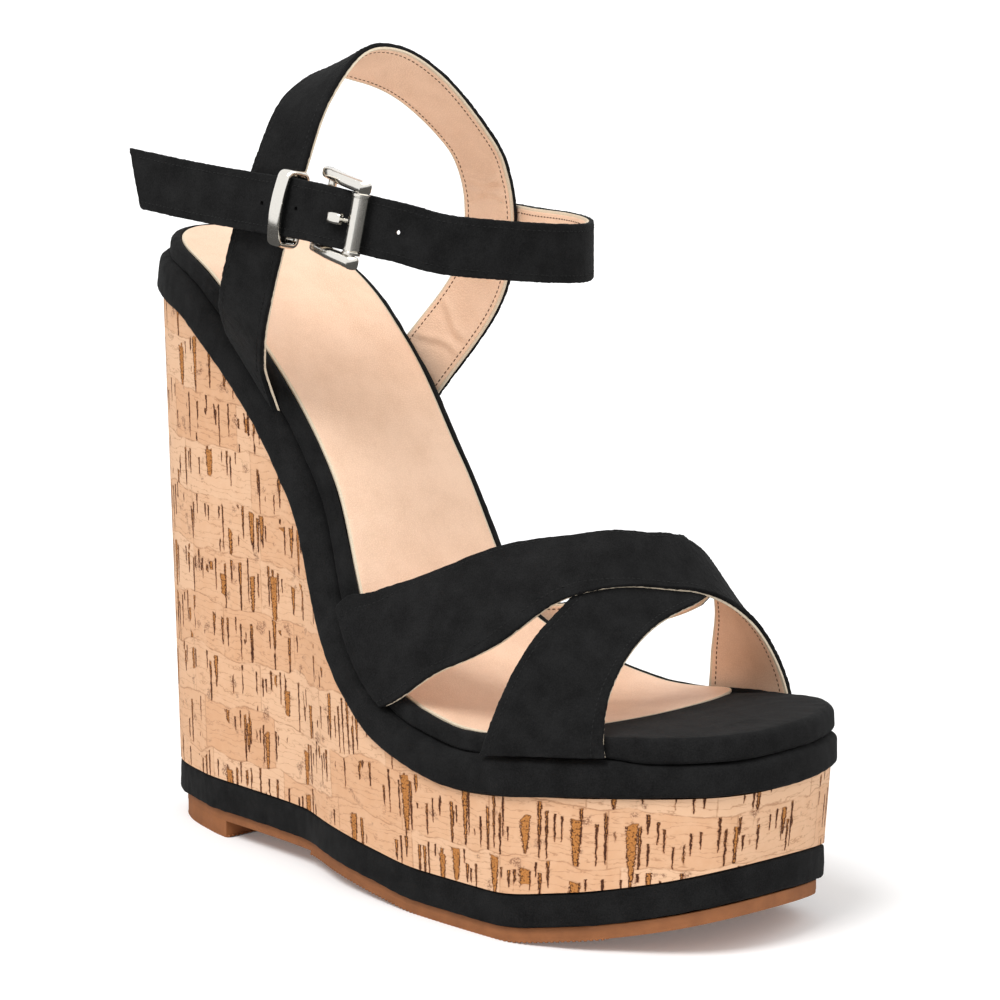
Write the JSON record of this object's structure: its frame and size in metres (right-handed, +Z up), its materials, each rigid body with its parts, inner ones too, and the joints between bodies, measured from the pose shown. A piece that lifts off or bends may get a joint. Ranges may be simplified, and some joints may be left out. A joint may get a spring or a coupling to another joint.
{
  "type": "platform wedge sandal",
  "caption": "Open-toe wedge sandal with a cork platform, crossed vamp straps, a heel loop and a buckled ankle strap",
  "frame": {"origin": "middle of the heel block's face on the floor", "axes": "+X from heel to toe, -Y to the outer side of the right foot where the buckle is, +Z up, floor at z = 0"},
  "size_m": [0.2236, 0.0932, 0.2183],
  "materials": {
    "rubber": "matte tan rubber",
    "suede": "black suede",
    "cork": "agglomerated cork veneer",
    "lining": "smooth nude leather",
    "metal": "polished nickel"
  },
  "bodies": {
    "root": {"outsole": "rubber", "base_band": "suede", "cork_wedge": "cork", "footbed_rim": "suede", "footbed_pad": "suede", "insole_sock": "lining", "vamp_straps": "suede", "heel_loop": "suede", "ankle_strap": "suede", "buckle_tab": "suede", "buckle_frame": "metal", "buckle_roller": "metal", "buckle_prong": "metal", "strap_keeper": "metal"}
  },
  "joints": []
}
